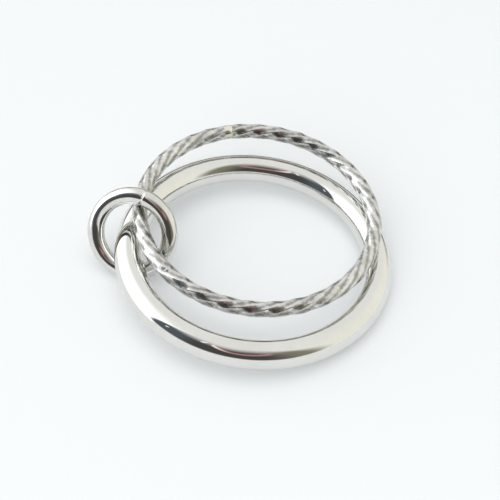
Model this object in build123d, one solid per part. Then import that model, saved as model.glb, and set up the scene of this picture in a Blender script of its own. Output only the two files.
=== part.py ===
"""Three linked silver rings lying on a table.

A heavy plain ring and a lighter ring of twisted six-sided wire both pass through
a small link ring, which stands leaning between them and holds them together.

Millimetres, +Z up. The table is Z = 0 and the origin is the middle of the
group's footprint on it. The link ring is on the -X side and the two large
rings lie to its +X side, the twisted ring on top of the plain one.
"""
from build123d import *
import os

os.makedirs("parts", exist_ok=True)

# ---- plain ring: round wire bent into a finger-sized ring
PLAIN_BORE = 17.6
PLAIN_WIRE = 2.3
PLAIN_RADIUS = (PLAIN_BORE + PLAIN_WIRE) / 2

# ---- twisted ring: six-sided wire, twisted left-handed before it is bent round
TWIST_RADIUS = 9.4
TWIST_SIDES = 6
TWIST_WIRE = 1.27
TWIST_SIXTH_TURNS = 33
TWIST_SOLDER_ANGLE = 4.0
TWIST_SOLDER_WIRE = 1.06
SECTIONS_PER_SIXTH = 3

# ---- link ring: round wire, closed by a butt joint filled with solder
LINK_BORE = 4.8
LINK_WIRE = 1.36
LINK_RADIUS = (LINK_BORE + LINK_WIRE) / 2
LINK_SOLDER_ANGLE = 4.0

# ---- how each ring lies: its axis leans by `lean` degrees from vertical, in
# the compass direction `toward`; `join` is where its wire's ends meet, as an
# angle round the ring from its lowest point
PLAIN_CENTRE = (1.164, -0.781)
PLAIN_LEAN = 4.3
PLAIN_TOWARD = -5.7

TWIST_CENTRE = (1.375, 1.856)
TWIST_HEIGHT = 3.782
TWIST_LEAN = 5.3
TWIST_TOWARD = -38.2
TWIST_JOIN = 145.2

LINK_CENTRE = (-8.497, -0.129)
LINK_LEAN = 57.1
LINK_TOWARD = -105.5
LINK_JOIN = 171.5


def standing_height(radius, wire, lean):
    """Height of a ring's centre when its lowest point touches the table."""
    sine = Vector(1, 0, 0).rotate(Axis.Y, lean).Z
    return radius * abs(sine) + wire / 2


def lie(ring, centre, height, lean, toward, join=0.0):
    """Move a ring built flat about the origin to where it lies in the group."""
    place = Location((centre[0], centre[1], height))
    return place * Rot(Z=toward) * Rot(Y=lean) * Rot(Z=join) * ring


def open_ring(radius, wire, gap_angle):
    """Round wire bent into a ring, with a gap centred on +X."""
    arc = Torus(radius, wire / 2, major_angle=360 - gap_angle, align=None)
    return Rot(Z=gap_angle / 2) * arc


def solder_slug(radius, wire, gap_angle):
    """Round slug that fills the gap of an open ring."""
    slug = Torus(radius, wire / 2, major_angle=gap_angle, align=None)
    return Rot(Z=-gap_angle / 2) * slug


def sided_section(angle, turn):
    """Six-sided section at one angle round the ring, turned about the wire."""
    middle = Vector(TWIST_RADIUS, 0, 0).rotate(Axis.Z, angle)
    along = Vector(0, 1, 0).rotate(Axis.Z, angle)
    plane = Plane(origin=middle, x_dir=middle.normalized(), z_dir=along)
    return plane * Rot(Z=turn) * RegularPolygon(TWIST_WIRE / 2, TWIST_SIDES)


def twisted_wire():
    """Wire whose section turns steadily as it goes round, open at +X."""
    count = TWIST_SIXTH_TURNS * SECTIONS_PER_SIXTH
    whole = TWIST_SIXTH_TURNS * 360 / TWIST_SIDES
    first = TWIST_SOLDER_ANGLE / 2
    span = 360 - TWIST_SOLDER_ANGLE
    sections = []
    for step in range(count + 1):
        share = step / count
        turn = -whole * share
        sections.append(sided_section(first + span * share, turn).face())
    return loft(sections)


def build_parts():
    """Every sub-part in its place, by node name."""
    plain_height = standing_height(PLAIN_RADIUS, PLAIN_WIRE, PLAIN_LEAN)
    link_height = standing_height(LINK_RADIUS, LINK_WIRE, LINK_LEAN)
    twist_pose = (TWIST_CENTRE, TWIST_HEIGHT, TWIST_LEAN, TWIST_TOWARD, TWIST_JOIN)
    link_pose = (LINK_CENTRE, link_height, LINK_LEAN, LINK_TOWARD, LINK_JOIN)
    plain = Torus(PLAIN_RADIUS, PLAIN_WIRE / 2, align=None)
    twist_slug = solder_slug(TWIST_RADIUS, TWIST_SOLDER_WIRE, TWIST_SOLDER_ANGLE)
    link = open_ring(LINK_RADIUS, LINK_WIRE, LINK_SOLDER_ANGLE)
    link_slug = solder_slug(LINK_RADIUS, LINK_WIRE, LINK_SOLDER_ANGLE)
    return {
        "plain_ring": lie(plain, PLAIN_CENTRE, plain_height, PLAIN_LEAN, PLAIN_TOWARD),
        "twisted_ring": lie(twisted_wire(), *twist_pose),
        "twisted_ring_solder": lie(twist_slug, *twist_pose),
        "link_ring": lie(link, *link_pose),
        "link_ring_solder": lie(link_slug, *link_pose),
    }


for node, solid in build_parts().items():
    box = solid.bounding_box()
    print(node, "volume", round(solid.volume, 3), "mm3, size", box.size)
    export_step(solid, "parts/" + node + ".step")
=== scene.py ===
# %% [markdown]
# # Three linked silver rings
# Two finger-sized rings hang together on a small link ring: a heavy plain one
# of round wire, and a lighter one of six-sided wire that was twisted before it
# was bent round. This lesson takes the CAD model as a fixed frame and makes
# each ring again with a finer surface, then lights and films the group.
# Everything is in metres, so sizes given in millimetres pass through `MM`.

# %% Load the frame
import math

import bpy
from mathutils import Matrix, Vector


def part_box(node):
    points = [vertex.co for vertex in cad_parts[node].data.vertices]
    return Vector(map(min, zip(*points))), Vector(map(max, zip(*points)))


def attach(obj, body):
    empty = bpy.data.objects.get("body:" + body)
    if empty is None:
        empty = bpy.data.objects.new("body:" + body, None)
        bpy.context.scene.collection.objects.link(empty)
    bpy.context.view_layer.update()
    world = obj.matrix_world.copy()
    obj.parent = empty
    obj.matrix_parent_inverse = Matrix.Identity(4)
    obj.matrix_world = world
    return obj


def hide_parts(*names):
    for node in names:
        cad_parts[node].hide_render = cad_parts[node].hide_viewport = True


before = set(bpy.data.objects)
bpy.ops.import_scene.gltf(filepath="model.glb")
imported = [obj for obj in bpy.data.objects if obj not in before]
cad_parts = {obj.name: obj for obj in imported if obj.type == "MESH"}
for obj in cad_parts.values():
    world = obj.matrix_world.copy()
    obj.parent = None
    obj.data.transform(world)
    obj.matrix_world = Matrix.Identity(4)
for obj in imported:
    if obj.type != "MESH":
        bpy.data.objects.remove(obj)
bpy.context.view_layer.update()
MM = 0.001
print("nodes:", sorted(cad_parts))

# %% [markdown]
# ## How each ring lies
# Every ring is made flat, centred on the origin, with the place where its wire
# ends meet on +X. One matrix then carries it to its place: spin the join round
# the ring, lean the ring's axis, turn the lean to its compass direction, and
# lift it to its centre. These are the CAD model's own numbers, so a ring made
# here lands on its CAD solid, and the boxes printed further on show that it
# does.

# %% Ring sizes and places
PLAIN_RADIUS = 9.95 * MM
PLAIN_WIRE = 2.3 * MM
TWIST_RADIUS = 9.4 * MM
TWIST_GAP = math.radians(4.0)
LINK_RADIUS = 3.08 * MM
LINK_WIRE = 1.36 * MM
LINK_GAP = math.radians(4.0)


def place(centre, height, lean, toward, join=0.0):
    """Matrix from a ring made flat at the origin to where it lies."""
    spot = Matrix.Translation(Vector((centre[0], centre[1], height)) * MM)
    turned = Matrix.Rotation(math.radians(toward), 4, "Z")
    leaned = Matrix.Rotation(math.radians(lean), 4, "Y")
    spun = Matrix.Rotation(math.radians(join), 4, "Z")
    return spot @ turned @ leaned @ spun


def standing(radius, wire, lean):
    """Height in mm of a ring's centre when its lowest point is on the table."""
    return (radius * math.sin(math.radians(lean)) + wire / 2) / MM


plain_place = place((1.164, -0.781), standing(PLAIN_RADIUS, PLAIN_WIRE, 4.3), 4.3, -5.7)
twist_place = place((1.375, 1.856), 3.782, 5.3, -38.2, 145.2)
link_place = place((-8.497, -0.129), standing(LINK_RADIUS, LINK_WIRE, 57.1), 57.1, -105.5, 171.5)
for name, spot in (("plain", plain_place), ("twisted", twist_place), ("link", link_place)):
    print(name, "ring centre, mm:", [round(c / MM, 3) for c in spot.translation])

# %% [markdown]
# ## Node trees written as sums
# Both the shapes and the finishes are node trees. Linking dozens of Math nodes
# by hand hides what they say, so `Wire` wraps a socket and lets Python's own
# + - * / build them. `Graph.node` makes any other node: its settings first,
# because they can change which sockets it shows, then its inputs.


# %% Helpers for node trees
class Wire:
    """An output socket that can be used in sums."""

    def __init__(self, graph, socket):
        self.graph = graph
        self.socket = socket

    def __add__(self, other):
        return self.graph.maths("ADD", self, other)

    def __radd__(self, other):
        return self.graph.maths("ADD", other, self)

    def __sub__(self, other):
        return self.graph.maths("SUBTRACT", self, other)

    def __rsub__(self, other):
        return self.graph.maths("SUBTRACT", other, self)

    def __mul__(self, other):
        return self.graph.maths("MULTIPLY", self, other)

    def __truediv__(self, other):
        return self.graph.maths("DIVIDE", self, other)

    def __rtruediv__(self, other):
        return self.graph.maths("DIVIDE", other, self)


class Graph:
    """Adds nodes to one tree."""

    def __init__(self, tree):
        self.tree = tree

    def plug(self, socket, value):
        """Links a wire to an input socket, or sets a plain value on it."""
        if isinstance(value, Wire):
            self.tree.links.new(value.socket, socket)
        else:
            socket.default_value = value

    def node(self, kind, settings=None, inputs=None, output=0):
        """One node: its settings, then its inputs by name or number."""
        made = self.tree.nodes.new(kind)
        for key, value in (settings or {}).items():
            setattr(made, key, value)
        for key, value in (inputs or {}).items():
            self.plug(made.inputs[key], value)
        return Wire(self, made.outputs[output])

    def maths(self, operation, a, b=0.0):
        return self.node("ShaderNodeMath", {"operation": operation}, {0: a, 1: b})

    def vector(self, operation, a, b=(0.0, 0.0, 0.0)):
        return self.node("ShaderNodeVectorMath", {"operation": operation}, {0: a, 1: b})

    def split(self, vector):
        """The three numbers of a vector, each as a wire."""
        made = self.node("ShaderNodeSeparateXYZ", None, {0: vector})
        return [Wire(self, s) for s in made.socket.node.outputs]

    def join(self, x, y, z):
        return self.node("ShaderNodeCombineXYZ", None, {0: x, 1: y, 2: z})

    def ease(self, value, start, end):
        """Rises smoothly from 0 at start to 1 at end."""
        return self.node(
            "ShaderNodeMapRange",
            {"interpolation_type": "SMOOTHSTEP", "clamp": True},
            {"Value": value, "From Min": start, "From Max": end},
        )

    def band(self, value, start, full, fade, end):
        """Rises from 0 at start to 1 at full, and falls from fade to 0 at end."""
        return self.ease(value, start, full) * (1.0 - self.ease(value, fade, end))

    def near(self, value, middle, inner, outer):
        """1 within inner of the middle, fading to 0 at outer."""
        return 1.0 - self.ease(self.maths("ABSOLUTE", value - middle), inner, outer)

    def scale(self, value, start, end):
        """Stretches 0..1 to start..end."""
        sockets = {"Value": value, "To Min": start, "To Max": end}
        return self.node("ShaderNodeMapRange", None, sockets)

    def noise(self, vector, scale, detail=2.0, w=None, roughness=0.5):
        """Soft noise from 0 to 1. With w it is four-dimensional."""
        sockets = {"Vector": vector, "Scale": scale, "Detail": detail, "Roughness": roughness}
        if w is not None:
            sockets["W"] = w
        dimensions = "3D" if w is None else "4D"
        return self.node("ShaderNodeTexNoise", {"noise_dimensions": dimensions}, sockets)

    def blend(self, factor, a, b):
        """Colour a where factor is 0, colour b where it is 1."""
        return self.node("ShaderNodeMix", {"data_type": "RGBA"}, {0: factor, 6: a, 7: b}, output=2)


print("helpers ready")

# %% [markdown]
# ## Shapes from Geometry Nodes
# A ring is a profile carried round a circle, which is exactly Curve to Mesh.
# A tree is made once per kind of ring, with its sizes as named inputs, put on
# an empty mesh as a modifier, and evaluated. What comes out is copied to a
# plain mesh and the modifier is thrown away, so the finished piece has no
# history and its place is in its own vertices.


# %% Helpers that turn a tree into a finished piece
def start_tree(name, inputs):
    """A geometry tree with named inputs. Gives the graph and a wire for each."""
    tree = bpy.data.node_groups.new(name, "GeometryNodeTree")
    kinds = {"Material": "NodeSocketMaterial", "Seed": "NodeSocketInt"}
    for label in inputs:
        kind = kinds.get(label, "NodeSocketFloat")
        tree.interface.new_socket(label, in_out="INPUT", socket_type=kind)
    tree.interface.new_socket("Geometry", in_out="OUTPUT", socket_type="NodeSocketGeometry")
    graph = Graph(tree)
    entry = tree.nodes.new("NodeGroupInput")
    wires = {label: Wire(graph, entry.outputs[label]) for label in inputs}
    return graph, wires


def roughen(graph, shape, depth, seed, fineness, detail):
    """Pushes a surface in and out by up to half of depth, in soft noise."""
    where = graph.node("GeometryNodeInputPosition")
    noise = graph.noise(where, fineness, detail, w=seed * 1.0)
    outward = graph.node("GeometryNodeInputNormal")
    sockets = {0: outward, "Scale": (noise - 0.5) * depth}
    push = graph.node("ShaderNodeVectorMath", {"operation": "SCALE"}, sockets)
    return graph.node("GeometryNodeSetPosition", None, {"Geometry": shape, "Offset": push})


def end_tree(graph, shape, material):
    """Closes a tree: smooth, no instances, one material."""
    sockets = {"Geometry": shape, "Shade Smooth": True}
    smooth = graph.node("GeometryNodeSetShadeSmooth", None, sockets)
    real = graph.node("GeometryNodeRealizeInstances", None, {"Geometry": smooth})
    painted = graph.node("GeometryNodeSetMaterial", None, {"Geometry": real, "Material": material})
    leave = graph.tree.nodes.new("NodeGroupOutput")
    graph.plug(leave.inputs["Geometry"], painted)
    return graph.tree


def bake(name, tree, values, spot):
    """A plain mesh object from a tree, its named inputs and a placing matrix."""
    carrier = bpy.data.objects.new("carrier", bpy.data.meshes.new("carrier"))
    bpy.context.collection.objects.link(carrier)
    modifier = carrier.modifiers.new("shape", "NODES")
    modifier.node_group = tree
    for item in tree.interface.items_tree:
        if item.in_out == "INPUT":
            modifier[item.identifier] = values[item.name]
    evaluated = carrier.evaluated_get(bpy.context.evaluated_depsgraph_get())
    mesh = bpy.data.meshes.new_from_object(evaluated)
    carrier.modifiers.clear()
    bpy.data.objects.remove(carrier)
    mesh.name = name
    mesh.transform(spot)
    piece = bpy.data.objects.new(name, mesh)
    bpy.context.collection.objects.link(piece)
    return piece


def compare(piece, node):
    """Prints how far a piece's box is from its CAD node's, in mm."""
    low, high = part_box(node)
    points = [v.co for v in piece.data.vertices]
    under = [min(p[i] for p in points) - low[i] for i in range(3)]
    over = [max(p[i] for p in points) - high[i] for i in range(3)]
    print(piece.name, len(piece.data.polygons), "faces")
    print("  low", [round(v / MM, 2) for v in under], "high", [round(v / MM, 2) for v in over])


# %% [markdown]
# ## Polished silver
# The plain ring is sterling silver with a mirror polish: nearly white metal, a
# little warm, that shows the whole room bent round it. What keeps it from
# looking like chrome is small: a slow change of tone where skin and air have
# touched it, hair-fine polishing scratches that run round the wire, and a
# surface that was finished by hand and so is never quite true. The scratches
# follow the ring, so the pattern is read in the ring's own flat frame, which a
# Mapping node gives, with the direction round the ring as a slow part and the
# section of the wire as a fast one. Because the direction enters as a point on
# a circle, the pattern closes on itself without a seam.


# %% Helpers for a ring's own coordinates and for silver
def ring_coordinates(graph, spot):
    """Object coordinates in a ring's flat frame, in mm: x, y, z and distance out."""
    back = spot.inverted()
    seen = graph.node("ShaderNodeTexCoord", None, None, output="Object")
    turned = graph.node(
        "ShaderNodeMapping",
        {"vector_type": "POINT"},
        {"Vector": seen, "Location": back.translation, "Rotation": back.to_euler()},
    )
    flat = graph.vector("MULTIPLY", turned, (1 / MM, 1 / MM, 1 / MM))
    x, y, z = graph.split(flat)
    out = graph.maths("SQRT", x * x + y * y)
    return flat, x, y, z, out


# Grey of the painted shade along the middle of each flat.
FLAT_SHADE = (0.16, 0.165, 0.165, 1.0)


def silver(name, spot, bright, dull, gloss, satin, scratch, dents, dent_size, flat_shade=0.0):
    """Silver that is bright to dull, gloss to satin, with scratches and dents.

    A non-zero last argument paints shade, greying the middle of each flat.
    """
    material = bpy.data.materials.new(name)
    material.use_nodes = True
    graph = Graph(material.node_tree)
    shader = material.node_tree.nodes["Principled BSDF"]
    flat, x, y, z, out = ring_coordinates(graph, spot)
    along = graph.join(out * 14.0, z * 14.0, x / out * 2.2)
    hair = graph.noise(along, 1.0, 4.0, w=y / out * 2.2, roughness=0.6)
    handled = graph.noise(flat, 0.35, 3.0)
    rubbed = graph.noise(flat, 1.7, 4.0, roughness=0.6)
    tone = graph.ease(handled * 0.6 + rubbed * 0.4, 0.35, 0.68)
    colour = graph.blend(tone, bright, dull)
    # Painted shade: grey in patches along the middle of each flat, standing in for dark
    # reflections.
    if flat_shade:
        flat_middle = graph.node("ShaderNodeAttribute", {"attribute_name": "flat_middle"}, None, output="Fac")
        grey = graph.ease(flat_middle * 0.6 + rubbed * 1.1, 0.65, 1.2) * flat_shade
        colour = graph.blend(grey, colour, FLAT_SHADE)
    graph.plug(shader.inputs["Base Color"], colour)
    wear = graph.ease(rubbed * 0.55 + hair * 0.45, 0.36, 0.66)
    graph.plug(shader.inputs["Roughness"], graph.scale(wear, gloss, satin))
    shader.inputs["Metallic"].default_value = 1.0
    slow = graph.noise(flat, dent_size, 2.0)
    lines = graph.node(
        "ShaderNodeBump", None, {"Strength": 1.0, "Distance": scratch * MM, "Height": hair}
    )
    waves = graph.node(
        "ShaderNodeBump",
        None,
        {"Strength": 1.0, "Distance": dents * MM, "Height": slow, "Normal": lines},
    )
    graph.plug(shader.inputs["Normal"], waves)
    return material


polished_silver = silver(
    "silver_mirror",
    plain_place,
    bright=(0.78, 0.778, 0.752, 1.0),
    dull=(0.74, 0.735, 0.70, 1.0),
    gloss=0.02,
    satin=0.05,
    scratch=0.0002,
    dents=0.004,
    dent_size=0.3,
)
print("made", polished_silver.name)

# %% [markdown]
# ## The plain ring
# Round wire, 2.3 mm thick, bent to a ring and soldered shut so well that no
# join shows. It could be Blender's own torus, but a torus is perfect and a
# hand-made ring isn't: here the wire's thickness breathes by a hundredth of a
# millimetre, which is enough to make reflections run a little unevenly.

# %% Make the plain ring
labels = ["Ring radius", "Wire thickness", "Unevenness", "Seed", "Material"]
graph, size = start_tree("round_ring", labels)
path = graph.node(
    "GeometryNodeCurvePrimitiveCircle",
    {"mode": "RADIUS"},
    {"Resolution": 420, "Radius": size["Ring radius"]},
)
upright = graph.node("GeometryNodeSetCurveNormal", {"mode": "Z_UP"}, {"Curve": path})
profile = graph.node(
    "GeometryNodeCurvePrimitiveCircle",
    {"mode": "RADIUS"},
    {"Resolution": 72, "Radius": size["Wire thickness"] * 0.5},
)
tube = graph.node("GeometryNodeCurveToMesh", None, {"Curve": upright, "Profile Curve": profile})
uneven = roughen(graph, tube, size["Unevenness"], size["Seed"], 260.0, 2.0)
round_ring = end_tree(graph, uneven, size["Material"])

plain_ring = bake(
    "plain_ring_polished",
    round_ring,
    {
        "Ring radius": PLAIN_RADIUS,
        "Wire thickness": PLAIN_WIRE,
        "Unevenness": 0.02 * MM,
        "Seed": 3,
        "Material": polished_silver,
    },
    plain_place,
)
compare(plain_ring, "plain_ring")

# %% [markdown]
# ## Twisted silver
# The second ring's wire had six flat sides. Twisting it wound its edges into
# ridges with flats between them, and bending and tumbling it afterwards left
# it less bright than the plain ring: softer reflections and small dents. Grey
# painted in patches along the middle of the flats is painted shade, standing
# in for the dark reflections those flats show. The mesh carries a number, 0 on
# a ridge and 1 in the middle of a flat, which tells the finish where that grey
# belongs.

# %% Make the twisted finish
twisted_silver = silver(
    "silver_tumbled",
    twist_place,
    bright=(0.78, 0.775, 0.745, 1.0),
    dull=(0.56, 0.55, 0.52, 1.0),
    gloss=0.14,
    satin=0.27,
    scratch=0.003,
    dents=0.05,
    dent_size=1.6,
    # strength of the painted shade along the flats
    flat_shade=0.7,
)
print("made", twisted_silver.name)

# %% [markdown]
# ## The twisted ring
# The path is an arc that stops short of a full circle by the width of the
# solder. Its tilt winds the section round as it goes, left-handed, so the
# ridges rise like a / on a wire that lies level. A real twist is never even,
# because the wire turns more where it is softer, so a slow noise speeds it up
# and slows it down, and it is a little slack in one place. The section
# is a circle of points moved in or out until they lie on six slightly crowned
# sides, with the corners cut back as wear does it.

# %% Make the twisted ring
SIDES = 6
HALF_THICKNESS = 0.57 * MM
RIDGE_REACH = 0.645 * MM
SIDE_TURNS = 34.2
SLACK_TURNS = 1.0

labels = ["Ring radius", "Half thickness", "Sides", "Crown", "Ridge reach", "Ridge wear"]
labels += ["Side turns", "Slack turns", "Start turn", "Gap angle", "Uneven twist"]
labels += ["Dents", "Seed", "Material"]
graph, size = start_tree("twisted_ring", labels)
arc = graph.node(
    "GeometryNodeCurveArc",
    {"mode": "RADIUS"},
    {
        "Resolution": 900,
        "Radius": size["Ring radius"],
        "Start Angle": size["Gap angle"] * 0.5,
        "Sweep Angle": 2 * math.pi - size["Gap angle"],
    },
)
upright = graph.node("GeometryNodeSetCurveNormal", {"mode": "Z_UP"}, {"Curve": arc})
share = graph.node("GeometryNodeSplineParameter", None, None, output="Factor")
hurry = graph.noise(graph.join(share * 9.0, 0.0, 0.0), 1.0, 1.0, w=size["Seed"] * 1.0)
slack = graph.ease(share, 0.07, 0.49) * size["Slack turns"]
turned = share * size["Side turns"] - slack
turned = turned + (hurry - 0.5) * size["Uneven twist"] + size["Start turn"]
tilt = turned * (2 * math.pi) / size["Sides"]
wound = graph.node("GeometryNodeSetCurveTilt", None, {"Curve": upright, "Tilt": tilt})
circle = graph.node(
    "GeometryNodeCurvePrimitiveCircle", {"mode": "RADIUS"}, {"Resolution": 64, "Radius": 1.0}
)
across, up, _ = graph.split(graph.node("GeometryNodeInputPosition"))
bearing = graph.maths("ARCTAN2", up, across)
step = (2 * math.pi) / size["Sides"]
folded = graph.maths("FLOORED_MODULO", bearing + step * 0.5, step) - step * 0.5
face = size["Half thickness"] / graph.maths("COSINE", folded * (1.0 - size["Crown"]))
limits = {0: face, 1: size["Ridge reach"], 2: size["Ridge wear"]}
reach = graph.node("ShaderNodeMath", {"operation": "SMOOTH_MIN"}, limits)
out_across = reach * graph.maths("COSINE", bearing)
out_up = reach * graph.maths("SINE", bearing)
outline = graph.join(out_across, out_up, 0.0)
shaped = graph.node("GeometryNodeSetPosition", None, {"Geometry": circle, "Position": outline})
# 0 on a ridge and 1 in the middle of a flat, where the finish paints shade.
middle = 1.0 - graph.maths("ABSOLUTE", folded) / (step * 0.5)
profile = graph.node(
    "GeometryNodeStoreNamedAttribute",
    {"data_type": "FLOAT", "domain": "POINT"},
    {"Geometry": shaped, "Name": "flat_middle", "Value": middle},
)
tube = graph.node(
    "GeometryNodeCurveToMesh", None, {"Curve": wound, "Profile Curve": profile, "Fill Caps": True}
)
dented = roughen(graph, tube, size["Dents"], size["Seed"], 900.0, 3.0)
twisted_tree = end_tree(graph, dented, size["Material"])

twisted_ring = bake(
    "twisted_ring_wire",
    twisted_tree,
    {
        "Ring radius": TWIST_RADIUS,
        "Half thickness": HALF_THICKNESS,
        "Sides": float(SIDES),
        "Crown": 0.2,
        "Ridge reach": RIDGE_REACH,
        "Ridge wear": 0.03 * MM,
        "Side turns": -SIDE_TURNS,
        "Slack turns": -SLACK_TURNS,
        "Start turn": 0.5,
        "Gap angle": TWIST_GAP,
        "Uneven twist": 0.3,
        "Dents": 0.03 * MM,
        "Seed": 7,
        "Material": twisted_silver,
    },
    twist_place,
)
compare(twisted_ring, "twisted_ring")

# %% [markdown]
# ## Link silver and solder
# The link is thinner wire with the same polish as the plain ring, but it was
# closed after the two big rings were threaded on, so it could be buffed less
# and keeps more hair scratches. Silver solder melts lower because it holds
# more copper and zinc, and that makes it a shade yellower than the wire.

# %% Make the link and solder finishes
link_silver = silver(
    "silver_buffed",
    link_place,
    bright=(0.78, 0.778, 0.752, 1.0),
    dull=(0.68, 0.67, 0.64, 1.0),
    gloss=0.04,
    satin=0.11,
    scratch=0.0006,
    dents=0.004,
    dent_size=1.0,
)
solder = silver(
    "silver_solder",
    twist_place,
    bright=(0.84, 0.82, 0.74, 1.0),
    dull=(0.78, 0.75, 0.65, 1.0),
    gloss=0.12,
    satin=0.26,
    scratch=0.001,
    dents=0.02,
    dent_size=3.0,
)
print("made", link_silver.name, solder.name)

# %% [markdown]
# ## The link ring
# The link is an open arc with a round section. Where its wire ends meet, they
# narrow by a few hundredths of a millimetre, as a file leaves them, and the
# solder fills the gap between. The link's seam is narrower here than in the
# CAD model, as a well closed joint is, and each solder runs a hair past the
# wire ends, so no light shows between them. One tree makes both: an arc whose
# thickness can fall or swell towards its ends.

# %% Make the link ring and both solder joints
LINK_SEAM = LINK_GAP * 0.44
LINK_FILL = LINK_GAP * 0.52
TWIST_FILL = TWIST_GAP * 1.2
TWIST_FILL_WIRE = 1.2 * MM

labels = ["Ring radius", "Wire thickness", "Start angle", "Sweep angle"]
labels += ["End length", "End change", "Unevenness", "Seed", "Material"]
graph, size = start_tree("round_arc", labels)
arc = graph.node(
    "GeometryNodeCurveArc",
    {"mode": "RADIUS"},
    {
        "Resolution": 320,
        "Radius": size["Ring radius"],
        "Start Angle": size["Start angle"],
        "Sweep Angle": size["Sweep angle"],
    },
)
upright = graph.node("GeometryNodeSetCurveNormal", {"mode": "Z_UP"}, {"Curve": arc})
share = graph.node("GeometryNodeSplineParameter", None, None, output="Factor")
from_end = graph.maths("MINIMUM", share, 1.0 - share)
edge = graph.maths("MINIMUM", from_end / size["End length"], 1.0)
fall = (1.0 - edge) * (1.0 - edge) * size["End change"]
thick = graph.node("GeometryNodeSetCurveRadius", None, {"Curve": upright, "Radius": 1.0 + fall})
profile = graph.node(
    "GeometryNodeCurvePrimitiveCircle",
    {"mode": "RADIUS"},
    {"Resolution": 64, "Radius": size["Wire thickness"] * 0.5},
)
grown = graph.node("GeometryNodeInputRadius")
tube = graph.node(
    "GeometryNodeCurveToMesh",
    None,
    {"Curve": thick, "Profile Curve": profile, "Scale": grown, "Fill Caps": True},
)
uneven = roughen(graph, tube, size["Unevenness"], size["Seed"], 700.0, 2.0)
round_arc = end_tree(graph, uneven, size["Material"])

link_ring = bake(
    "link_ring_wire",
    round_arc,
    {
        "Ring radius": LINK_RADIUS,
        "Wire thickness": LINK_WIRE,
        "Start angle": LINK_SEAM / 2,
        "Sweep angle": 2 * math.pi - LINK_SEAM,
        "End length": 0.006,
        "End change": -0.05,
        "Unevenness": 0.015 * MM,
        "Seed": 5,
        "Material": link_silver,
    },
    link_place,
)
compare(link_ring, "link_ring")

link_solder = bake(
    "link_ring_joint",
    round_arc,
    {
        "Ring radius": LINK_RADIUS,
        "Wire thickness": LINK_WIRE * 0.97,
        "Start angle": -LINK_FILL / 2,
        "Sweep angle": LINK_FILL,
        "End length": 0.5,
        "End change": -0.04,
        "Unevenness": 0.01 * MM,
        "Seed": 9,
        "Material": solder,
    },
    link_place,
)
compare(link_solder, "link_ring_solder")

twist_solder = bake(
    "twisted_ring_joint",
    round_arc,
    {
        "Ring radius": TWIST_RADIUS,
        "Wire thickness": TWIST_FILL_WIRE,
        "Start angle": -TWIST_FILL / 2,
        "Sweep angle": TWIST_FILL,
        "End length": 0.5,
        "End change": -0.08,
        "Unevenness": 0.12 * MM,
        "Seed": 11,
        "Material": solder,
    },
    twist_place,
)
compare(twist_solder, "twisted_ring_solder")

# %% [markdown]
# ## Hang the pieces on the frame
# Each piece rides on the body of its CAD node and stands in for that node.

# %% Ride and replace
for piece, body, node, finish in (
    (plain_ring, "plain", "plain_ring", "polished_silver"),
    (twisted_ring, "twisted", "twisted_ring", "twisted_silver"),
    (twist_solder, "twisted", "twisted_ring_solder", "solder"),
    (link_ring, "link", "link_ring", "link_silver"),
    (link_solder, "link", "link_ring_solder", "solder"),
):
    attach(piece, body)
    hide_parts(node)
    print(piece.name, "rides on", body)

# %% [markdown]
# ## The table
# A plain card, slightly cool. It has to be far larger than the rings, because
# polished silver shows it all the way to the horizon. Its own colour is a mid
# grey that the lamps bring up to nearly white. Most of its light then comes
# from the lamps and only a little from the room, so it stays pale where a ring
# hides the room from it.

# %% Make the table
TABLE_HALF = 3.0
CARD_GREY = (0.22, 0.228, 0.230, 1.0)

table_mesh = bpy.data.meshes.new("table_card")
signs = ((-1, -1), (1, -1), (1, 1), (-1, 1))
corners = [(x * TABLE_HALF, y * TABLE_HALF, 0.0) for x, y in signs]
table_mesh.from_pydata(corners, [], [(0, 1, 2, 3)])
table_card = bpy.data.objects.new("table_card", table_mesh)
bpy.context.collection.objects.link(table_card)

card = bpy.data.materials.new("pale_card")
card.use_nodes = True
graph = Graph(card.node_tree)
shader = card.node_tree.nodes["Principled BSDF"]
shader.inputs["Base Color"].default_value = CARD_GREY
shader.inputs["Roughness"].default_value = 0.9
shader.inputs["Specular IOR Level"].default_value = 0.1
table_mesh.materials.append(card)
print("table is", 2 * TABLE_HALF, "m square")

# %% [markdown]
# ## The room
# Polished metal has almost no colour of its own: it looks like what stands
# round it. The room is a white tent, brightest on the left where the window
# is and a little beige on the right. It is written as a function of direction,
# in degrees of compass (0 to the front, + to the right) and of height above
# the horizon. A patch of the room is then a band of compass times a band of
# height, and the eased edges keep its reflection from looking cut out.

# %% Paint the tent
WHITE = (0.95, 0.95, 0.94, 1.0)
WINDOW = (2.3, 2.35, 2.4, 1.0)
WINDOW_COMPASS = (-170.0, -120.0, -76.0, -66.0)
BEIGE = (1.02, 1.01, 0.92, 1.0)
BEIGE_COMPASS = (40.0, 75.0, 120.0, 160.0)

scene = bpy.context.scene
room = bpy.data.worlds.new("tent")
scene.world = room
room.use_nodes = True
graph = Graph(room.node_tree)
toward = graph.node("ShaderNodeTexCoord", None, None, output="Generated")
x, y, z = graph.split(toward)
compass = graph.maths("ARCTAN2", x, 0.0 - y) * (180 / math.pi)
height = graph.maths("ARCSINE", z) * (180 / math.pi)

window = graph.band(compass, *WINDOW_COMPASS)
beige = graph.band(compass, *BEIGE_COMPASS)
low = 1.0 - graph.ease(height, 30.0, 80.0)
tent = graph.blend(window * low, WHITE, WINDOW)
tent = graph.blend(beige * low, tent, BEIGE)
print("tent painted, window at compass", WINDOW_COMPASS[1], "to", WINDOW_COMPASS[2])

# %% [markdown]
# ## The opening in front
# The tent is open in front, where whoever looks at the rings stands, and that
# is the dark blade along each ring. Its inside is slate on the left, nearly
# black in the middle and olive on the right. A pink line sags across it, high
# at its left end and lowest straight ahead.

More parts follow.
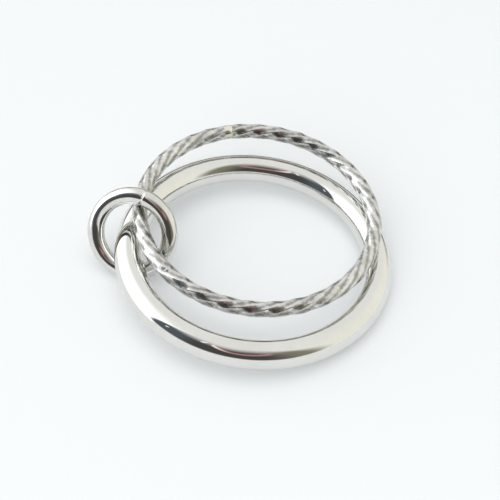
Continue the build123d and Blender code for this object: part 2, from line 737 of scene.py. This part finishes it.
# %% Paint the opening
SLATE = (0.10, 0.12, 0.14, 1.0)
BLACK = (0.075, 0.072, 0.070, 1.0)
OLIVE = (0.26, 0.25, 0.19, 1.0)
PALE_PINK = (1.3, 0.95, 0.9, 1.0)
DEEP_PINK = (0.5, 0.27, 0.27, 1.0)
OPENING_COMPASS = (-75.0, -69.0, 46.0, 66.0)
OPENING_HEIGHT = (6.0, 15.0, 50.0, 88.0)
LINE_COMPASS = (-31.0, -27.0, 26.0, 34.0)
LINE_LOWEST = 43.0

inside = graph.blend(graph.ease(compass, -52.0, -36.0), SLATE, BLACK)
inside = graph.blend(graph.ease(compass, 14.0, 46.0), inside, OLIVE)
left = graph.maths("MINIMUM", compass, 0.0)
right = graph.maths("MAXIMUM", compass, 0.0)
sag = LINE_LOWEST + left * left * 0.031 + right * right * 0.0133
line = graph.near(height, sag, 1.5, 8.0) * graph.band(compass, *LINE_COMPASS)
pink = graph.blend(graph.ease(compass, -24.0, -6.0), PALE_PINK, DEEP_PINK)
inside = graph.blend(line, inside, pink)
opening = graph.band(compass, *OPENING_COMPASS) * graph.band(height, *OPENING_HEIGHT)
tent = graph.blend(opening, tent, inside)
print("opening painted, compass", OPENING_COMPASS[0], "to", OPENING_COMPASS[3])

# %% [markdown]
# ## Glints and a gap
# A mirror looks polished when its dark parts hold a few hard bright spots, so
# two small glints sit on the opening's left half. Behind the group the tent
# doesn't quite reach the table, which draws a thin dark edge round each ring.

# %% Paint the glints and the gap, and light the room
GLINT = (1.6, 1.6, 1.6, 1.0)
# Each glint's compass, height, width and tallness, in degrees.
GLINTS = ((-37.5, 66.0, 1.6, 5.0), (-63.0, 40.0, 0.8, 4.0))
GAP = (0.06, 0.06, 0.055, 1.0)

for glint_compass, glint_height, wide, tall in GLINTS:
    across_it = graph.near(compass, glint_compass, wide * 0.5, wide * 1.5)
    up_it = graph.near(height, glint_height, tall * 0.5, tall * 1.3)
    tent = graph.blend(across_it * up_it, tent, GLINT)

behind = graph.ease(graph.maths("ABSOLUTE", compass), 120.0, 150.0)
gap = behind * (1.0 - graph.ease(height, 6.0, 18.0))
tent = graph.blend(gap, tent, GAP)

sky = room.node_tree.nodes["Background"]
graph.plug(sky.inputs["Color"], tent)
sky.inputs["Strength"].default_value = 1.0
print("room painted with", len(room.node_tree.nodes), "nodes")

# %% [markdown]
# ## The lamps
# The room lights the table evenly. A large soft lamp up in front on the left
# gives the light a direction, so the shadows fall back and to the right, and a
# lamp straight overhead that throws no shadow lifts them, as reflector cards
# all round would. Neither shows in the silver, which mirrors only the tent.


# %% Hang the lamps
def lamp(name, kind, power, spot, aim, settings):
    """A lamp at spot, turned to aim, unseen in reflections."""
    data = bpy.data.lights.new(name, kind)
    data.energy = power
    for key, value in settings.items():
        setattr(data, key, value)
    made = bpy.data.objects.new(name, data)
    bpy.context.collection.objects.link(made)
    toward_aim = (Vector(aim) - Vector(spot)).to_track_quat("-Z", "Y")
    made.matrix_world = Matrix.Translation(spot) @ toward_aim.to_matrix().to_4x4()
    made.visible_glossy = False
    print(name, "at", spot)


GROUP = (0.0, 0.0, 0.0)
FRONT_LEFT = (-0.22, -0.42, 0.34)
OVERHEAD = (0.0, 0.0, 1.0)
lamp("soft_lamp", "AREA", 5.1, FRONT_LEFT, GROUP, {"shape": "SQUARE", "size": 0.5})
lamp("fill_lamp", "SUN", 8.2, OVERHEAD, GROUP, {"angle": 1.0, "use_shadow": False})

# %% [markdown]
# ## The camera
# It looks down at the group from the front, 47 degrees above the table, with a
# long lens about ten centimetres away.

# %% Set up the camera
AIM = Vector((0.834, 1.484, 0.0)) * MM
ELEVATION = math.radians(47.286)
DISTANCE = 97.556 * MM
ROLL = math.radians(1.6546)
forward = Vector((0.0, math.cos(ELEVATION), -math.sin(ELEVATION)))
level = Vector((1.0, 0.0, 0.0))
upward = Vector((0.0, math.sin(ELEVATION), math.cos(ELEVATION)))
right = level * math.cos(ROLL) + upward * math.sin(ROLL)
top = upward * math.cos(ROLL) - level * math.sin(ROLL)
camera_data = bpy.data.cameras.new("camera")
camera_data.sensor_width = 36.0
camera_data.lens = 85.44
camera_data.clip_start = 1.0 * MM
camera_data.clip_end = 20.0
camera = bpy.data.objects.new("camera", camera_data)
bpy.context.collection.objects.link(camera)
turn = Matrix((right, top, -forward)).transposed().to_4x4()
camera.matrix_world = Matrix.Translation(AIM - forward * DISTANCE) @ turn
scene.camera = camera
scene.view_settings.view_transform = "Standard"
print("camera at, mm:", [round(c / MM, 1) for c in camera.location])
